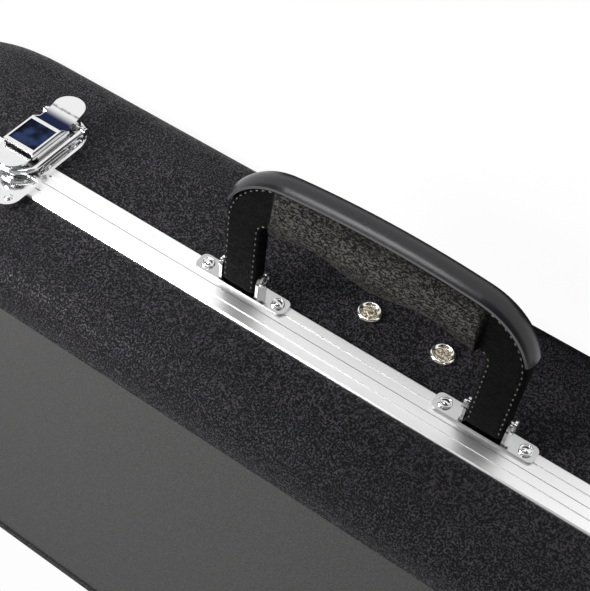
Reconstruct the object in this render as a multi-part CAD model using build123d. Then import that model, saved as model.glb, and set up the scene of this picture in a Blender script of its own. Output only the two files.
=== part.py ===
from build123d import *
import math
import os

# Mandolin case, closed and lying flat: lid up (+Z), handle side towards -Y, hinge side towards +Y,
# length along X. The origin is the middle of the base face. Millimetres.

# Case halves
case_length = 740.0
case_width = 300.0
corner_radius = 130.0
body_depth = 85.8
lid_depth = 58.2
shell_wall = 2.6
body_edge_radius = 18.0
lid_edge_radius = 19.0
body_straight = 48.0
lid_straight = 28.0
shell_draft = 2.0
panel_inset = 23.0
panel_step = 1.0
panel_blend = 0.6

# Valance: one extrusion round each half
valance_height = 11.2
valance_proud = 1.5
valance_edge = 0.7
parting_gap = 0.3
valance_web = 1.6
seat_clearance = 0.05
inner_flange = 1.2
inner_flange_height = 9.0
line_height = 5.3
line_width = 0.9
line_depth = 0.5
tongue_thickness = 1.4
tongue_drop = 2.8
tongue_clearance = 0.7
groove_depth = 4.0
groove_floor = 1.2
groove_lip_top = 0.5

# Handle
handle_pitch = 129.5
bracket_drop = 7.8
bracket_rivet_pitch = 40.0
bracket_length = 50.4
bracket_width = 9.6
bracket_sheet = 1.4
bracket_corner = 3.0
ear_height = 14.4
pin_height = 9.0
pin_radius = 1.6
pin_lip = 1.0
pin_head_height = 1.2
pin_overhang = 1.5
leg_width = 18.4
ear_side_clearance = 0.3
leg_thickness = 9.0
leg_end = 4.2
handle_top = 79.7
handle_crown = 410.0
handle_corner = 32.0
finger_corner = 5.0
foot_corner = 2.0
grip_half_length = 50.0
grip_half_thickness = 7.3
grip_belly = 49.3
grip_peak = 54.3
grip_peak_offset = 28.0
grip_low = 50.3
grip_edge = 3.5
grip_shoulder = 1.4
bead_half_width = 5.8
bead_height = 2.95
bead_lip = 1.3
bead_end = 57.0
bead_seam = 0.1
core_thickness = 1.6
core_width = 11.0
core_drop = 2.0
core_eye_wall = 2.4
core_eye_clearance = 0.7
pin_end = 0.9
ring_radius = 3.4
ring_wire = 1.0
ring_bore = 1.0

# Rivets behind and beside the handle
rivet_clearance = 0.05
bracket_rivet_head = 3.3
bracket_rivet_dome = 1.7
rivet_shank = 1.6
rivet_tail = 2.3
rivet_tail_height = 0.7
rivet_crown = 0.55
middle_rivet_head = 6.2
middle_rivet_dome = 1.9
middle_rivet_drop = 32.3
middle_rivet_places = (9.2, -30.2)
board_length = 92.0
board_height = 26.0
board_thickness = 2.0

# Draw latches
latch_offset = 197.5
base_half_width = 16.5
base_top = -0.9
base_round_centre = -27.1
plate_sheet = 1.6
plate_rim = 0.8
rim_width = 1.6
plate_corner = 4.0
housing_half_width = 9.3
housing_wall = 0.8
housing_front = -2.1
housing_back = -23.0
housing_top = 13.2
housing_skirt = 8.6
housing_roof = 1.5
window_size = 16.6
window_depth = 0.9
lever_pin_y = -25.8
lever_pin_z = 7.4
lever_pin_radius = 1.25
barrel_radius = 3.4
ear_radius = 3.0
running_clearance = 0.05
side_clearance = 0.3
tab_half_width = 8.7
tab_end = -47.6
tab_sheet = 1.3
tab_low = 10.8
tab_high = 12.6
tab_bend_start = -33.0
tab_bend_end = -38.0
cheek_thickness = 0.9
bail_pin_y = -36.3
bail_z = 5.2
bail_offset = 11.2
bail_rod = 1.5
bail_round_centre = -3.4
bail_eye = 2.5
bail_eye_half = 1.2
bail_head = 2.1
bail_head_height = 0.8
catch_half_width = 18.0
catch_bottom = 0.9
catch_top = 25.5
catch_corner = 8.0
hook_play = 0.65
hook_half_width = 8.4
hook_front = 9.8
hook_back = -1.7
hook_under = 8.5
hook_sheet = 1.3
latch_rivet_head = 2.3
latch_rivet_dome = 1.1
rivet_head_clearance = 0.2
base_rivet_out = base_half_width - rim_width - latch_rivet_head - rivet_head_clearance
base_upper_drop = 8.2
base_lower_drop = 27.0
base_upper_rivets = ((base_rivet_out, -base_upper_drop), (-base_rivet_out, -base_upper_drop))
base_lower_rivets = ((base_rivet_out, -base_lower_drop), (-base_rivet_out, -base_lower_drop))
catch_rivet_places = ((12.2, 19.2), (-12.2, 19.2))

# Hinges
hinge_spacing = 175.0
hinge_places = (-hinge_spacing, 0.0, hinge_spacing)
hinge_length = 50.0
hinge_sheet = 1.2
hinge_reach = 24.0
hinge_axis_out = 3.3
hinge_barrel = 3.0
hinge_pin = 1.5
hinge_middle = 20.0
hinge_knuckle_gap = 0.4
stop_reach = 5.2
stop_thickness = 1.4
hinge_rivet_place = 18.0
hinge_rivet_spread = 17.0

# Feet on the hinge side
foot_offset = 222.0
foot_places = (-foot_offset, foot_offset)
body_foot_drop = 52.0
lid_foot_rise = 33.0
foot_base_radius = 10.0
foot_face_radius = 8.0
foot_height = 8.6
foot_bevel = 1.2

# Lining and padding
liner_side_gap = 1.0
liner_floor_gap = 0.3
liner_rim_inset = 8.7
liner_rim_drop = 11.2
liner_top_drop = 3.0
lid_foam = 9.0
lid_foam_side = 12.0
hollow_corner = 5.0
well_floor = 20.0
bout_radius = 130.0
bout_centre = 212.0
shoulder_radius = 62.0
shoulder_centre = 62.0
neck_half_width = 32.0
neck_floor = 34.0
head_start = -190.0
head_end = -345.0
head_half_width = 60.0
head_corner = 20.0
cradle_centre = -75.0
cradle_length = 46.0
cradle_top = 66.0
cradle_notch = 23.0
cradle_notch_centre = 70.0
box_length = 150.0
box_width = 46.0
box_wall = 2.0
box_start_x = -175.0
box_wall_distance = 30.0
box_hinge_y = case_width / 2 - box_wall_distance
box_floor = 30.0
flap_thickness = 6.0
flap_gap = 0.4
flap_edge = 1.5
tab_length = 14.0
tab_width = 12.0
tab_thickness = 1.0
soft_gap = 0.3

# Places that follow from the sizes above
parting = body_depth
front_face = -(case_width / 2 + valance_proud)
back_face = case_width / 2 + valance_proud
half_gap = parting_gap / 2
slot_bottom = half_gap + valance_web
wall_z = -valance_proud
inside_z = -valance_proud - shell_wall


def front_plane(x):
    """Frame on the handle side: x along the case, y up from the parting plane, z outwards."""
    return Plane(origin=(x, front_face, parting), x_dir=(1, 0, 0), z_dir=(0, -1, 0))


def back_plane(x):
    """Frame on the hinge side: x along the case, y up from the parting plane, z outwards."""
    return Plane(origin=(x, back_face, parting), x_dir=(-1, 0, 0), z_dir=(0, 1, 0))


def side_view(x):
    """Turns a sketch of y against z, in a wall frame, into a plane facing along the case."""
    return Plane(origin=(x, 0, 0), x_dir=(0, 1, 0), z_dir=(1, 0, 0))


def outline(inset):
    return RectangleRounded(case_length - 2 * inset, case_width - 2 * inset, corner_radius - inset)


def tray(inset, straight, depth, edge):
    """Open-ended form of one half, rising from z 0: a straight band, a drafted band, a round edge."""
    band = extrude(outline(inset), straight)
    drafted = extrude(Pos(0, 0, straight) * outline(inset), depth - straight, taper=shell_draft)
    form = band + drafted
    return fillet(form.edges().group_by(Axis.Z)[-1], edge)


def panel(depth, step):
    return extrude(Pos(0, 0, depth) * outline(panel_inset), step)


def drill(part, plane, places, radius, low, high):
    for x, y in places:
        hole = Pos(x, y, (low + high) / 2) * Cylinder(radius, high - low)
        part = part - plane.location * hole
    return part


def rivet(head, dome, shank, seat, back):
    """A low-headed rivet on local z: its head on the plane at seat, its clenched tail behind back."""
    side = Polyline((0, seat + dome), (0, back - rivet_tail_height), (rivet_tail, back - rivet_tail_height),
                    (rivet_tail, back), (shank, back), (shank, seat), (head, seat),
                    (head * rivet_crown, seat + dome), close=True)
    return revolve(Plane.XZ * make_face(side), Axis.Z)


def rivets(plane, places, head, dome, seat, back):
    one = rivet(head, dome, rivet_shank, seat, back)
    return [plane.location * Pos(x, y, 0) * one for x, y in places]


bracket_rivet_places = [(side * handle_pitch / 2 + end * bracket_rivet_pitch / 2, -bracket_drop)
                        for side in (-1, 1) for end in (-1, 1)]
middle_places = [(x, -middle_rivet_drop) for x in middle_rivet_places]
hinge_rivet_xs = (-hinge_rivet_spread, hinge_rivet_spread)


def shell_holes(part, half):
    """Rivet holes through one half's wall, valance included."""
    reach = (-20.0, 5.0)
    hole = rivet_shank + rivet_clearance
    for x in (-latch_offset, latch_offset):
        places = base_upper_rivets + base_lower_rivets if half < 0 else catch_rivet_places
        part = drill(part, front_plane(x), places, hole, *reach)
    for x in hinge_places:
        part = drill(part, back_plane(x), [(dx, half * hinge_rivet_place) for dx in hinge_rivet_xs], hole, *reach)
    if half < 0:
        part = drill(part, front_plane(0), bracket_rivet_places + middle_places, hole, *reach)
    return part


def body_shell():
    depth = body_depth - panel_step
    outer = tray(0, body_straight, depth, body_edge_radius) + panel(depth, panel_step)
    inner = tray(shell_wall, body_straight, depth - shell_wall, body_edge_radius - shell_wall)
    rim = Pos(0, 0, slot_bottom / 2) * Box(case_length * 2, case_width * 2, slot_bottom)
    shell = Pos(0, 0, parting) * Rot(180, 0, 0) * (outer - inner - rim)
    return shell_holes(shell, -1)


def lid_shell():
    outer = tray(0, lid_straight, lid_depth, lid_edge_radius) - panel(lid_depth, -panel_step)
    inner = tray(shell_wall, lid_straight, lid_depth - panel_step - shell_wall, lid_edge_radius - shell_wall)
    rim = Pos(0, 0, slot_bottom / 2) * Box(case_length * 2, case_width * 2, slot_bottom)
    return shell_holes(Pos(0, 0, parting) * (outer - inner - rim), 1)


def valance_outer(sign):
    """Points of the outer flange, from the parting face round to the slot for the shell's rim."""
    low, high = line_height - line_width / 2, line_height + line_width / 2
    points = [(valance_proud, half_gap), (valance_proud, low), (valance_proud - line_depth, low),
              (valance_proud - line_depth, high), (valance_proud, high),
              (valance_proud, valance_height - valance_edge), (valance_proud - valance_edge, valance_height),
              (0, valance_height), (0, slot_bottom)]
    seat = -shell_wall - seat_clearance
    points += [(seat, slot_bottom), (seat, inner_flange_height),
               (seat - inner_flange, inner_flange_height)]
    return [(u, sign * v) for u, v in points]


def valance_sweep(points):
    """Carries one half's section round the rim. Section: u outwards from the wall, v up."""
    start = Plane(origin=(0, case_width / 2, parting), x_dir=(0, 1, 0), z_dir=(1, 0, 0))
    section = start * make_face(Polyline(*points, close=True))
    x, y = case_length / 2, case_width / 2
    r = corner_radius
    corners = [(x, y, 1), (x, -y, 0), (-x, -y, -1), (-x, y, -2)]
    path = Line((0, y), (x - r, y)) + CenterArc((x - r, y - r), r, 90, -90)
    path += Line((x, y - r), (x, r - y)) + CenterArc((x - r, r - y), r, 0, -90)
    path += Line((x - r, -y), (r - x, -y)) + CenterArc((r - x, r - y), r, -90, -90)
    path += Line((-x, r - y), (-x, y - r)) + CenterArc((r - x, y - r), r, 180, -90)
    path += Line((r - x, y), (0, y))
    return sweep(section, path=Pos(0, 0, parting) * path.wire())


def body_valance():
    flange = -shell_wall - seat_clearance - inner_flange
    lip_inner = flange - 2 * tongue_clearance - tongue_thickness
    points = valance_outer(-1)
    points += [(flange, -groove_depth - groove_floor), (lip_inner - inner_flange, -groove_depth - groove_floor),
               (lip_inner - inner_flange, -groove_lip_top), (lip_inner, -groove_lip_top),
               (lip_inner, -groove_depth), (flange, -groove_depth), (flange, -half_gap)]
    return shell_holes(valance_sweep(points), -1)


def lid_valance():
    flange = -shell_wall - seat_clearance - inner_flange
    tongue = flange - tongue_clearance
    points = valance_outer(1)
    points += [(flange, slot_bottom), (tongue - tongue_thickness, slot_bottom),
               (tongue - tongue_thickness, -tongue_drop), (tongue, -tongue_drop), (tongue, half_gap)]
    return shell_holes(valance_sweep(points), 1)


def bracket():
    """Stamped saddle on a wall frame: a base plate with two ears that hold the handle's pin."""
    plate = extrude(RectangleRounded(bracket_length, bracket_width, bracket_corner), bracket_sheet)
    ear_width = bracket_width - 1.6
    ear_face = Pos(0, (ear_height - ear_width / 2) / 2) * Rectangle(ear_width, ear_height - ear_width / 2)
    ear_face += Pos(0, ear_height - ear_width / 2) * Circle(ear_width / 2)
    ear_face -= Pos(0, pin_height) * Circle(pin_radius + rivet_clearance)
    inner = leg_width / 2 + ear_side_clearance
    for side in (-1, 1):
        middle = side * (inner + bracket_sheet / 2)
        plate += extrude(side_view(middle) * ear_face, bracket_sheet / 2, both=True)
    places = [(-bracket_rivet_pitch / 2, 0), (bracket_rivet_pitch / 2, 0)]
    return drill(plate, Plane.XY, places, rivet_shank + rivet_clearance, -1, 5)


def bracket_frame(side):
    """Wall frame of one bracket, its x turned so that the pin's ring lies towards -X."""
    return front_plane(side * handle_pitch / 2).location * Pos(0, -bracket_drop, 0) * Rot(0, 0, 180)


def handle_pin():
    """Round pin through both ears, with a flat head at one end and a small bore at the other."""
    half = leg_width / 2 + ear_side_clearance + bracket_sheet
    pin = Rot(0, 90, 0) * Cylinder(pin_radius, 2 * (half + pin_overhang))
    head = Pos(-half - pin_end, 0, 0) * Rot(0, 90, 0) * Cylinder(pin_radius + pin_lip, pin_head_height)
    bore = Pos(half + pin_end, 0, 0) * Rot(90, 0, 0) * Cylinder(ring_bore, 4 * pin_radius)
    return Pos(0, 0, pin_height) * (pin + head - bore)


def pin_ring():
    """Split ring through the bore at the pin's end, keeping it in the ears."""
    half = leg_width / 2 + ear_side_clearance + bracket_sheet
    ring = Cylinder(ring_radius + ring_wire / 2, ring_wire) - Cylinder(ring_radius - ring_wire / 2, ring_wire)
    return Pos(half + pin_end, 0, pin_height + ring_radius) * Rot(0, 90, 0) * ring


def handle_plane():
    """Frame of the handle's side view: x along the case, y outwards from the valance."""
    return Plane(origin=(0, front_face, parting - bracket_drop), x_dir=(1, 0, 0), z_dir=(0, 0, -1))


def handle_corner_arc():
    """Centre of a corner's arc, and the angle where it runs on into the crowned top."""
    across = handle_pitch / 2 + leg_width / 2 - handle_corner
    rise = math.sqrt((handle_crown - handle_corner) ** 2 - across ** 2)
    return across, handle_top - handle_crown + rise, math.degrees(math.atan2(rise, across))


def handle_outside(grow, start):
    """Crowned top between its two corner arcs, grown outwards. Each corner starts at an angle above the leg."""
    across, level, lean = handle_corner_arc()
    radius = handle_corner + grow
    path = CenterArc((-across, level), radius, 180 - start, start - lean)
    path += CenterArc((0, handle_top - handle_crown), handle_crown + grow, 180 - lean, 2 * lean - 180)
    return path + CenterArc((across, level), radius, lean, start - lean)


def grip_underside(half):
    """Finger side of the grip: a belly in the middle between two scallops."""
    return Spline((half, grip_low), (grip_peak_offset, grip_peak), (0, grip_belly), (-grip_peak_offset, grip_peak),
                  (-half, grip_low))


def handle_grip():
    """Leather-covered handle: two flat legs and a thicker, scalloped grip."""
    half = handle_pitch / 2 + leg_width / 2
    inner = half - leg_width
    level = handle_corner_arc()[1]
    edge = handle_outside(0, 0) + Line((half, level), (half, leg_end)) + Line((half, leg_end), (inner, leg_end))
    edge += Line((inner, leg_end), (inner, grip_low)) + grip_underside(inner)
    edge += Line((-inner, grip_low), (-inner, leg_end)) + Line((-inner, leg_end), (-half, leg_end))
    edge += Line((-half, leg_end), (-half, level))
    whole = make_face(edge)
    side_corners = [v for v in whole.vertices() if abs(abs(v.X) - inner) < 0.1 and v.Y > grip_low - 0.1]
    sides = fillet(side_corners, finger_corner)
    feet = [v for v in sides.vertices() if v.Y < leg_end + 0.1]
    legs = extrude(fillet(feet, foot_corner), leg_thickness / 2, both=True)
    block = extrude(whole & Rectangle(2 * grip_half_length, 4 * handle_top), grip_half_thickness, both=True)
    rims = [e for e in block.edges() if abs(e.center().Z) > grip_half_thickness - 0.1]
    block = chamfer([e for e in rims if e.center().Y > handle_top - leg_width / 2], grip_shoulder)
    soft = [e for e in block.edges() if abs(e.center().Z) > grip_half_thickness - 0.1
            and e.center().Y < handle_top - leg_width / 2]
    handle = handle_plane().location * (legs + chamfer(soft, grip_edge))
    eye = core_eyes(core_thickness / 2 + core_eye_wall + core_eye_clearance, leg_width + 1)
    return handle - handle_core() - eye


def core_eyes(radius, length):
    eyes = [bracket_frame(side) * Pos(0, 0, pin_height) * Rot(0, 90, 0) * Cylinder(radius, length)
            for side in (-1, 1)]
    return eyes[0] + eyes[1]


def handle_core():
    """Stamped steel plate inside the leather, its ends rolled round the pins."""
    middle = handle_pitch / 2
    band = core_width / 2
    top = handle_top - leg_width / 2 - core_drop
    outer, inner = middle + band, middle - band
    path = Polyline((-outer, pin_height), (-outer, top + band), (outer, top + band), (outer, pin_height),
                    (inner, pin_height), (inner, top - band), (-inner, top - band), (-inner, pin_height),
                    close=True)
    face = make_face(path)
    upper = [v for v in face.vertices() if v.Y > top]
    bend = handle_corner - (leg_width - core_width) / 2
    face = fillet(upper, bend)
    lower = [v for v in face.vertices() if top - band - 0.1 < v.Y < top]
    face = fillet(lower, bend - core_width)
    core = handle_plane().location * extrude(face, core_thickness / 2, both=True)
    core += core_eyes(core_thickness / 2 + core_eye_wall, core_width)
    bore = pin_radius + running_clearance
    for side in (-1, 1):
        core -= bracket_frame(side) * Pos(0, 0, pin_height) * Rot(0, 90, 0) * Cylinder(bore, leg_width + 2)
    return core


def handle_bead():
    """Glossy moulded strip over the handle's outside, a rounded cap with a lip at each side."""
    across, level, _ = handle_corner_arc()
    radius = handle_corner + bead_seam
    turn = math.asin((bead_end - level) / radius)
    out = Vector(-math.cos(turn), math.sin(turn), 0)
    start = Plane(origin=(radius * out.X - across, radius * out.Y + level, 0), x_dir=(out.X, out.Y, 0),
                  z_dir=(out.Y, -out.X, 0))
    w, h = bead_half_width, bead_height
    flat = Line((0, -w), (bead_lip, -w)) + Spline((bead_lip, -w), (h * 0.86, -w * 0.52), (h, 0),
                                                  (h * 0.86, w * 0.52), (bead_lip, w))
    flat += Line((bead_lip, w), (0, w)) + Line((0, w), (0, -w))
    section = start * make_face(flat)
    cap = sweep(section, path=handle_outside(bead_seam, math.degrees(turn)).wire())
    return handle_plane().location * cap


def riveted_plate(face, bottom):
    """Stamped base on a wall frame: flat sheet, raised rim, and a skirt down to the wall."""
    sheet = extrude(face, plate_sheet)
    ring = face - offset(face, -rim_width)
    sheet += extrude(Pos(0, 0, plate_sheet) * ring, plate_rim)
    skirt = extrude(Pos(0, 0, wall_z) * ring, -wall_z)
    beyond = Pos(0, math.copysign(valance_height + 0.1 + case_width / 2, bottom), 0)
    return sheet + (skirt & beyond * Box(case_width, case_width, case_width))


def latch_base():
    high = base_top - base_round_centre
    face = Pos(0, base_round_centre + high / 2) * Rectangle(2 * base_half_width, high)
    face = fillet(face.vertices().group_by(Axis.Y)[-1], plate_corner)
    face += Pos(0, base_round_centre) * Circle(base_half_width)
    plate = riveted_plate(face, -1)
    return drill(plate, Plane.XY, base_upper_rivets + base_lower_rivets, rivet_shank + rivet_clearance, -5, 5)


def latch_housing():
    """Bridge over the base: a roof with a sunk window and two cheeks that carry the lever's pin."""
    cheek = Polyline((housing_front, housing_top), (housing_back, housing_top),
                     (lever_pin_y - ear_radius * 0.9, lever_pin_z + ear_radius * 0.7),
                     (lever_pin_y - ear_radius, lever_pin_z), (lever_pin_y - ear_radius * 0.5, lever_pin_z - 2.6),
                     (-20.5, plate_sheet), (-7.0, plate_sheet), (-5.2, housing_skirt),
                     (housing_front, housing_skirt), close=True)
    cheek = make_face(cheek) - Pos(lever_pin_y, lever_pin_z) * Circle(lever_pin_radius)
    middle = housing_half_width - housing_wall / 2
    bridge = extrude(side_view(middle) * cheek, housing_wall / 2, both=True)
    bridge += extrude(side_view(-middle) * cheek, housing_wall / 2, both=True)
    length = housing_front - housing_back
    centre = (housing_front + housing_back) / 2
    roof = extrude(Pos(0, centre, housing_top - housing_roof) * Rectangle(2 * housing_half_width, length),
                   housing_roof)
    roof = fillet(roof.edges().filter_by(Axis.Y).group_by(Axis.Z)[-1], 0.5)
    roof -= Pos(0, centre, housing_top) * Box(window_size, window_size, 2 * window_depth)
    return bridge + roof


def latch_lever():
    """Thumb lever: a barrel round its pin, a tab that lifts at its end, and cheeks for the bail's pin."""
    end = Line((lever_pin_y, tab_low), (tab_bend_start, tab_low))
    end += Spline((tab_bend_start, tab_low), (tab_bend_end, (tab_low + tab_high) / 2 + 0.3), (tab_end, tab_high),
                  tangents=((-1, 0), (-1, 0)))
    end += Line((tab_end, tab_high), (tab_end, tab_high - tab_sheet))
    end += Spline((tab_end, tab_high - tab_sheet), (tab_bend_end, (tab_low + tab_high) / 2 + 0.3 - tab_sheet),
                  (tab_bend_start, tab_low - tab_sheet), tangents=((1, 0), (1, 0)))
    end += Line((tab_bend_start, tab_low - tab_sheet), (lever_pin_y, tab_low - tab_sheet))
    end += Line((lever_pin_y, tab_low - tab_sheet), (lever_pin_y, tab_low))
    tab = extrude(side_view(0) * make_face(end), tab_half_width, both=True)
    round_centre = tab_end + tab_half_width
    plan = Pos(0, round_centre + 15) * Rectangle(2 * tab_half_width, 30) + Pos(0, round_centre) * Circle(tab_half_width)
    inside = housing_half_width - housing_wall - side_clearance
    neck = lever_pin_y - tab_bend_start
    plan -= Pos(0, tab_bend_start + case_width / 2) * Rectangle(case_width, case_width)
    plan += Pos(0, tab_bend_start + neck / 2) * Rectangle(2 * inside, neck)
    tab &= extrude(plan, 30)
    barrel = Pos(0, lever_pin_y, lever_pin_z) * Rot(0, 90, 0) * Cylinder(barrel_radius, 2 * inside)
    cheek = Polyline((lever_pin_y, tab_low - 0.2), (bail_pin_y - 2.2, tab_low - 0.2),
                     (bail_pin_y - bail_eye, bail_z + 0.8), (bail_pin_y - 1.4, bail_z - 2.2),
                     (bail_pin_y + 1.4, bail_z - 2.2), (lever_pin_y - 2.2, lever_pin_z - 2.6),
                     (lever_pin_y, lever_pin_z - 3.0), close=True)
    cheek_middle = inside - cheek_thickness / 2
    cheeks = extrude(side_view(cheek_middle) * make_face(cheek), cheek_thickness / 2, both=True)
    cheeks += extrude(side_view(-cheek_middle) * make_face(cheek), cheek_thickness / 2, both=True)
    lever = barrel + cheeks + tab
    for y, z in ((lever_pin_y, lever_pin_z), (bail_pin_y, bail_z)):
        lever -= Pos(0, y, z) * Rot(0, 90, 0) * Cylinder(lever_pin_radius + running_clearance, 4 * housing_half_width)
    return lever


def lever_pin():
    return Pos(0, lever_pin_y, lever_pin_z) * Rot(0, 90, 0) * Cylinder(lever_pin_radius, 2 * housing_half_width)


def latch_bail():
    """Round loop from the lever's pin to the hook, an eye at the end of each arm."""
    section = Plane.XZ * Pos(bail_offset, 0) * Circle(bail_rod)
    loop = Pos(0, bail_round_centre, bail_z) * revolve(section, Axis.Z, revolution_arc=180)
    arm = bail_round_centre - bail_pin_y
    for side in (-1, 1):
        loop += Pos(side * bail_offset, bail_pin_y + arm / 2, bail_z) * Rot(90, 0, 0) * Cylinder(bail_rod, arm)
        place = Pos(side * bail_offset, bail_pin_y, bail_z) * Rot(0, 90, 0)
        loop += place * Cylinder(bail_eye, 2 * bail_eye_half)
        loop -= place * Cylinder(lever_pin_radius, 10)
    return loop


def bail_pin():
    """Pin through the lever's cheeks and the bail's eyes, headed at both ends."""
    outer = bail_offset + bail_rod + 0.1
    place = Pos(0, bail_pin_y, bail_z) * Rot(0, 90, 0)
    pin = place * Cylinder(lever_pin_radius, 2 * outer)
    for side in (-1, 1):
        head = Rot(0, 90, 0) * Cylinder(bail_head, bail_head_height)
        pin += Pos(side * (outer + bail_head_height / 2), bail_pin_y, bail_z) * head
    return pin


def latch_catch():
    """Lid plate with a rounded post inside the bail and a tongue that overhangs it."""
    height = catch_top - catch_bottom
    face = Pos(0, catch_bottom + height / 2) * Rectangle(2 * catch_half_width, height)
    face = fillet(face.vertices().group_by(Axis.Y)[-1], catch_corner)
    face = fillet(face.vertices().group_by(Axis.Y)[0], 2.0)
    plate = riveted_plate(face, 1)
    post_radius = bail_offset - bail_rod - hook_play
    post = Pos(0, bail_round_centre) * Circle(post_radius)
    post &= Pos(0, catch_bottom + case_width / 2) * Rectangle(case_width, case_width)
    plate += extrude(Pos(0, 0, plate_sheet / 2) * post, hook_under - plate_sheet / 2)
    centre = hook_front - hook_half_width
    tongue = Pos(0, centre) * Circle(hook_half_width)
    tongue += Pos(0, (centre + hook_back) / 2) * Rectangle(2 * hook_half_width, centre - hook_back)
    plate += extrude(Pos(0, 0, hook_under) * tongue, hook_sheet)
    return drill(plate, Plane.XY, catch_rivet_places, rivet_shank + rivet_clearance, -5, 5)


def hinge_leaf(half):
    """One leaf on the hinge frame: joggled from the valance to the wall, knuckles round the pin."""
    clear = hinge_barrel + hinge_knuckle_gap
    step = valance_height + 0.6
    plate = Polyline((clear, 0), (step, 0), (step + 1.2, wall_z), (hinge_reach, wall_z),
                     (hinge_reach, wall_z + hinge_sheet), (step + 1.6, wall_z + hinge_sheet),
                     (step + 0.4, hinge_sheet), (clear, hinge_sheet), close=True)
    plate = make_face(plate)
    neck = make_face(Polyline((0, hinge_axis_out - hinge_barrel), (clear + 0.5, 0), (clear + 0.5, hinge_sheet),
                              (1.0, hinge_axis_out), close=True))
    bore = Pos(0, hinge_axis_out) * Circle(hinge_pin + (running_clearance if half > 0 else 0))
    knuckle = Pos(0, hinge_axis_out) * Circle(hinge_barrel) + neck - bore
    centre = hinge_middle / 2
    side_length = hinge_length / 2 - centre - hinge_knuckle_gap
    leaf = extrude(side_view(0) * plate, hinge_length / 2, both=True)
    if half > 0:
        leaf += extrude(side_view(0) * knuckle, centre, both=True)
        lug = Pos(0, 0, hinge_axis_out + (hinge_barrel + stop_reach) / 2 - 0.4)
        leaf += lug * Box(hinge_middle - 4, stop_thickness, stop_reach - hinge_barrel + 0.8)
    else:
        for side in (-1, 1):
            middle = side * (centre + hinge_knuckle_gap + side_length / 2)
            leaf += extrude(side_view(middle) * knuckle, side_length / 2, both=True)
    places = [(x, hinge_rivet_place) for x in hinge_rivet_xs]
    leaf = drill(leaf, Plane.XY, places, rivet_shank + rivet_clearance, -5, 5)
    return leaf if half > 0 else mirror(leaf, Plane.XZ)


def hinge_rod():
    return Pos(0, 0, hinge_axis_out) * Rot(0, 90, 0) * Cylinder(hinge_pin, hinge_length)


def foot():
    """Rubber foot on the wall, a blunt cone with a rounded face."""
    cone = Pos(0, 0, wall_z + foot_height / 2) * Cone(foot_base_radius, foot_face_radius, foot_height)
    return chamfer(cone.edges().group_by(Axis.Z)[-1], foot_bevel)


def liner_block(straight, depth, edge, top_drop):
    """Outer form of a lining: close inside the shell, stepped in beside the valance."""
    gap = shell_wall + liner_side_gap
    block = tray(gap, straight, depth, edge - gap)
    block -= Pos(0, 0, liner_rim_drop / 2) * Box(case_length * 2, case_width * 2, liner_rim_drop)
    collar = extrude(Pos(0, 0, top_drop) * outline(liner_rim_inset), liner_rim_drop - top_drop + 1)
    return block + collar


def pear():
    """Plan of the mandolin's body well: two rounds joined by their outer tangents."""
    near = Pos(shoulder_centre, 0) * Circle(shoulder_radius)
    far = Pos(bout_centre, 0) * Circle(bout_radius)
    lean = math.asin((bout_radius - shoulder_radius) / (bout_centre - shoulder_centre))
    up = Vector(-math.sin(lean), math.cos(lean))
    corners = [(shoulder_centre + shoulder_radius * up.X, shoulder_radius * up.Y),
               (bout_centre + bout_radius * up.X, bout_radius * up.Y)]
    points = corners + [(x, -y) for x, y in reversed(corners)]
    return near + far + make_face(Polyline(*points, close=True))


def body_liner():
    """Padded block in the lower half, with the mandolin's well and a pocket for the box."""
    depth = body_depth - panel_step - shell_wall - liner_floor_gap
    block = liner_block(body_straight, depth, body_edge_radius, liner_top_drop)
    block = Pos(0, 0, parting) * Rot(180, 0, 0) * block
    high = 2 * parting
    block -= extrude(Pos(0, 0, well_floor) * pear(), high)
    neck_length = shoulder_centre - head_start
    neck = Pos((shoulder_centre + head_start) / 2, 0) * Rectangle(neck_length, 2 * neck_half_width)
    block -= extrude(Pos(0, 0, neck_floor) * neck, high)
    head = RectangleRounded(head_start - head_end, 2 * head_half_width, head_corner)
    block -= extrude(Pos((head_start + head_end) / 2, 0, neck_floor) * head, high)
    block -= Pos(box_start_x + box_length / 2, box_hinge_y - box_width / 2, (box_floor + high) / 2) * Box(
        box_length + 2 * soft_gap, box_width + 2 * soft_gap, high - box_floor + 2 * soft_gap)
    board = reinforcement_board()
    space = board.bounding_box()
    block -= Pos(space.center().X, space.center().Y, space.center().Z) * Box(
        space.size.X + 2, space.size.Y + 2, space.size.Z + 2)
    return block


def neck_cradle():
    """Padded block across the neck channel, with a round notch for the neck."""
    width = 2 * neck_half_width - 2 * soft_gap
    high = cradle_top - neck_floor - soft_gap
    block = Pos(cradle_centre, 0, cradle_top - high / 2) * Box(cradle_length, width, high)
    block -= Pos(cradle_centre, 0, cradle_notch_centre) * Rot(0, 90, 0) * Cylinder(cradle_notch, cradle_length + 2)
    return fillet(block.edges().filter_by(Axis.Y).group_by(Axis.Z)[-1], 4.0)


def flap_top():
    return parting - liner_top_drop - 0.2


def accessory_box():
    """Thin open box beside the neck channel."""
    top = flap_top() - flap_thickness - soft_gap
    high = top - box_floor
    centre = Pos(box_start_x + box_length / 2, box_hinge_y - box_width / 2, box_floor + high / 2)
    outer = Box(box_length, box_width, high)
    inner = Pos(0, 0, box_wall) * Box(box_length - 2 * box_wall, box_width - 2 * box_wall, high)
    return centre * (outer - inner)


def accessory_flap():
    """Padded lid of the box, its upper edges rounded."""
    length, width = box_length - 2 * flap_gap, box_width - 2 * flap_gap
    flap = Box(length, width, flap_thickness)
    flap = fillet(flap.edges().group_by(Axis.Z)[-1], flap_edge)
    return Pos(box_start_x + box_length / 2, box_hinge_y - box_width / 2, flap_top() - flap_thickness / 2) * flap


def flap_tab():
    """Ribbon tab sewn to the flap's free edge."""
    y = box_hinge_y - box_width + flap_gap + tab_length / 2
    lift = flap_top() + tab_thickness / 2
    return Pos(box_start_x + box_length / 2, y, lift) * Box(tab_width, tab_length, tab_thickness)


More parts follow.
